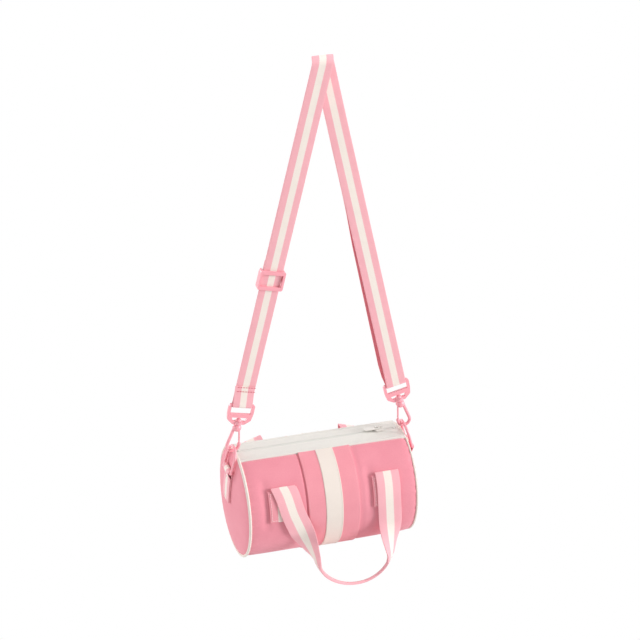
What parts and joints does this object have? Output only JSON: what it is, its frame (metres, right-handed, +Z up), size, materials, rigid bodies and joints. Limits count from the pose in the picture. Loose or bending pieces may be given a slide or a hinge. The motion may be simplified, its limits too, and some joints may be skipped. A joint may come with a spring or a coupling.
{
  "type": "barrel bag",
  "caption": "Small padded barrel bag with zip top, carry handles and an adjustable striped webbing shoulder strap, hung from its strap by swivel hooks on D-rings.",
  "frame": {"origin": "on the axis of the rail that the shoulder strap hangs over, above the middle of the bag", "axes": "+Z up, +X along the barrel to the right of someone facing its front, +Y towards the back"},
  "size_m": [0.2422, 0.1713, 0.6888],
  "materials": {
    "body_fabric": "coarse matte canvas",
    "band_webbing": "matte woven band",
    "cream_webbing": "matte woven stripe",
    "cream_piping": "smooth corded piping",
    "padding_foam": "soft foam",
    "lining_fabric": "thin woven lining",
    "zip_tape": "woven tape",
    "zip_plastic": "moulded teeth",
    "zip_metal": "satin coat",
    "striped_webbing": "matte woven webbing, pink with a cream middle",
    "coated_metal": "satin coat"
  },
  "bodies": {
    "strap": {"shoulder_strap": "striped_webbing", "hook_base_left": "coated_metal", "hook_base_right": "coated_metal"},
    "strap_slider": {"strap_adjuster": "coated_metal", "strap_tail": "striped_webbing"},
    "bag": {"body_panel": "body_fabric", "centre_band": "band_webbing", "centre_stripe": "cream_webbing", "padding": "padding_foam", "lining": "lining_fabric", "end_panel_left": "body_fabric", "end_panel_right": "body_fabric", "piping_left": "cream_piping", "piping_right": "cream_piping", "zip_tape_front": "zip_tape", "zip_tape_rear": "zip_tape", "zip_teeth_front": "zip_plastic", "zip_teeth_rear": "zip_plastic", "zip_stops": "zip_plastic", "front_handle_patch_left": "striped_webbing", "front_handle_patch_right": "striped_webbing", "rear_handle_patch_left": "striped_webbing", "rear_handle_patch_right": "striped_webbing", "dring_tab_left": "striped_webbing", "dring_tab_right": "striped_webbing"},
    "zip_runner": {"zip_slider": "zip_metal"},
    "zip_puller": {"zip_pull": "zip_metal"},
    "front_carry": {"front_handle": "striped_webbing"},
    "rear_carry": {"rear_handle": "striped_webbing"},
    "left_ring": {"dring_left": "coated_metal"},
    "right_ring": {"dring_right": "coated_metal"},
    "left_hook": {"hook_left": "coated_metal", "gate_pin_left": "coated_metal"},
    "right_hook": {"hook_right": "coated_metal", "gate_pin_right": "coated_metal"},
    "left_gate": {"hook_gate_left": "coated_metal"},
    "right_gate": {"hook_gate_right": "coated_metal"}
  },
  "joints": [
    {"name": "bag_swing", "type": "hinge", "parent": "strap", "child": "bag", "pos_m": [0, 0, -0.497], "axis": [1, 0, 0], "range_deg": [-45, 45]},
    {"name": "strap_slide", "type": "slide", "parent": "strap", "child": "strap_slider", "axis": [0.2141, -0.0246, 0.9765], "range_m": [-0.12, 0]},
    {"name": "zip_slide", "type": "slide", "parent": "bag", "child": "zip_runner", "axis": [1, 0, 0], "range_m": [-0.16, 0]},
    {"name": "zip_pull_tip", "type": "hinge", "parent": "zip_runner", "child": "zip_puller", "pos_m": [0.08, 0.00795, -0.50075], "axis": [0, 0.9936, -0.1132], "range_deg": [0, 150]},
    {"name": "front_handle_lift", "type": "hinge", "parent": "bag", "child": "front_carry", "pos_m": [0, -0.05553, -0.52633], "axis": [-1, 0, 0], "range_deg": [0, 180]},
    {"name": "rear_handle_lift", "type": "hinge", "parent": "bag", "child": "rear_carry", "pos_m": [0, 0.06561, -0.53108], "axis": [1, 0, 0], "range_deg": [0, 180]},
    {"name": "left_hook_swivel", "type": "hinge", "parent": "strap", "child": "left_hook", "pos_m": [-0.1106, 0, -0.4895], "axis": [0.2204, 0, 0.9754], "range_deg": [-8, 8]},
    {"name": "left_gate_open", "type": "hinge", "parent": "left_hook", "child": "left_gate", "pos_m": [-0.10219, 0, -0.4668], "axis": [0, 1, 0], "range_deg": [0, 22], "stiffness_Nm_per_rad": 0.02, "springref_deg": -17.19},
    {"name": "left_ring_tip", "type": "hinge", "parent": "bag", "child": "left_ring", "pos_m": [-0.11747, 0, -0.5225], "axis": [0, -1, 0], "range_deg": [-0.3, 2]},
    {"name": "right_hook_swivel", "type": "hinge", "parent": "strap", "child": "right_hook", "pos_m": [0.1106, 0, -0.4895], "axis": [-0.2204, 0, 0.9754], "range_deg": [-8, 8]},
    {"name": "right_gate_open", "type": "hinge", "parent": "right_hook", "child": "right_gate", "pos_m": [0.10219, 0, -0.4668], "axis": [0, -1, 0], "range_deg": [0, 22], "stiffness_Nm_per_rad": 0.02, "springref_deg": -17.19},
    {"name": "right_ring_tip", "type": "hinge", "parent": "bag", "child": "right_ring", "pos_m": [0.11747, 0, -0.5225], "axis": [0, 1, 0], "range_deg": [-0.3, 2]}
  ]
}
